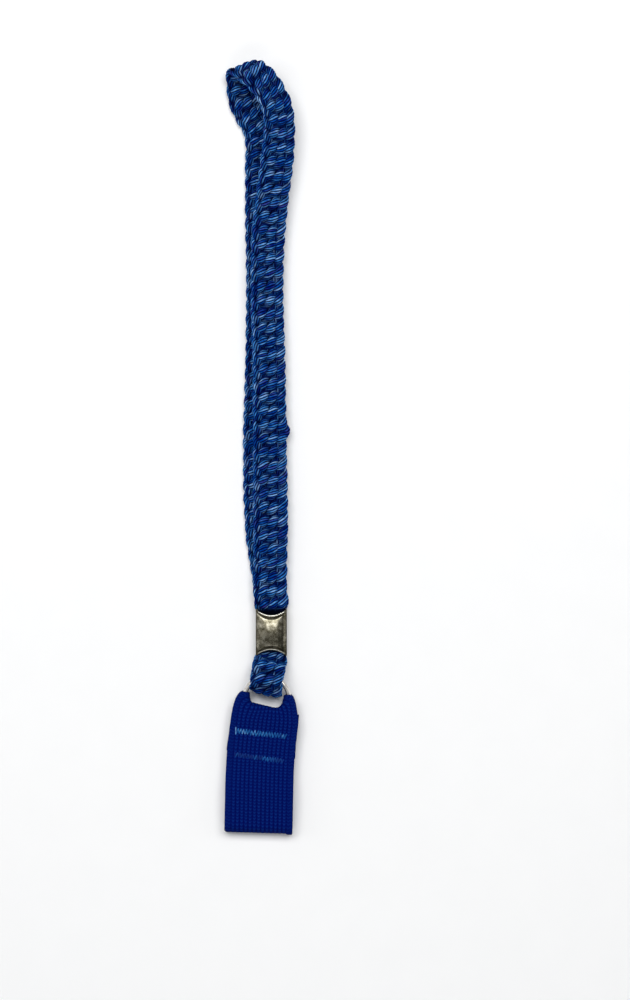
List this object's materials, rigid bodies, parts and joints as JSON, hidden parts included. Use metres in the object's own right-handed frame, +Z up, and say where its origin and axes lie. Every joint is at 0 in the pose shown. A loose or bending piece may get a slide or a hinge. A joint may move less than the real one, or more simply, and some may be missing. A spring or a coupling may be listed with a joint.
{
  "type": "walking stick wrist strap",
  "caption": "Flat braided wrist strap with a crimped metal clamp, a wire ring and a sewn elastic band that grips a walking stick.",
  "frame": {"origin": "centre of the clamp's flat back face, which rests on the surface that the strap lies on", "axes": "+X across the strap, +Y along it from the clamp towards the hand loop, +Z up from the surface, out of the clamp's front"},
  "size_m": [0.0293, 0.2897, 0.016],
  "materials": {
    "braid": "plied polyester cord, plaited flat, mottled light and dark blue",
    "antique_nickel": "satin antique nickel plate with a fine grain, darker in the hollows",
    "wire_nickel": "bright nickel-plated wire",
    "elastic": "matt ribbed woven elastic, deep royal blue",
    "thread": "light blue sewing thread"
  },
  "bodies": {
    "clamp": {"crimp_clamp": "antique_nickel", "ring_loop": "braid"},
    "hand_loop": {"wrist_loop": "braid"},
    "ring": {"ring": "wire_nickel"},
    "band": {"elastic_band": "elastic", "upper_seam_thread": "thread", "lower_seam_thread": "thread"}
  },
  "joints": [
    {"name": "loop_flex", "type": "hinge", "parent": "clamp", "child": "hand_loop", "pos_m": [0, 0.014, 0.00325], "axis": [1, 0, 0], "range_deg": [-70, 70]},
    {"name": "ring_swing", "type": "hinge", "parent": "clamp", "child": "ring", "pos_m": [-0.00099, -0.01795, 0.00542], "axis": [-0.9945, 0.1045, 0], "range_deg": [-110, 130]},
    {"name": "band_sway", "type": "hinge", "parent": "ring", "child": "band", "pos_m": [-0.00171, -0.02474, 0.00523], "axis": [-0.0029, -0.0275, 0.9996], "range_deg": [-6, 6]}
  ]
}
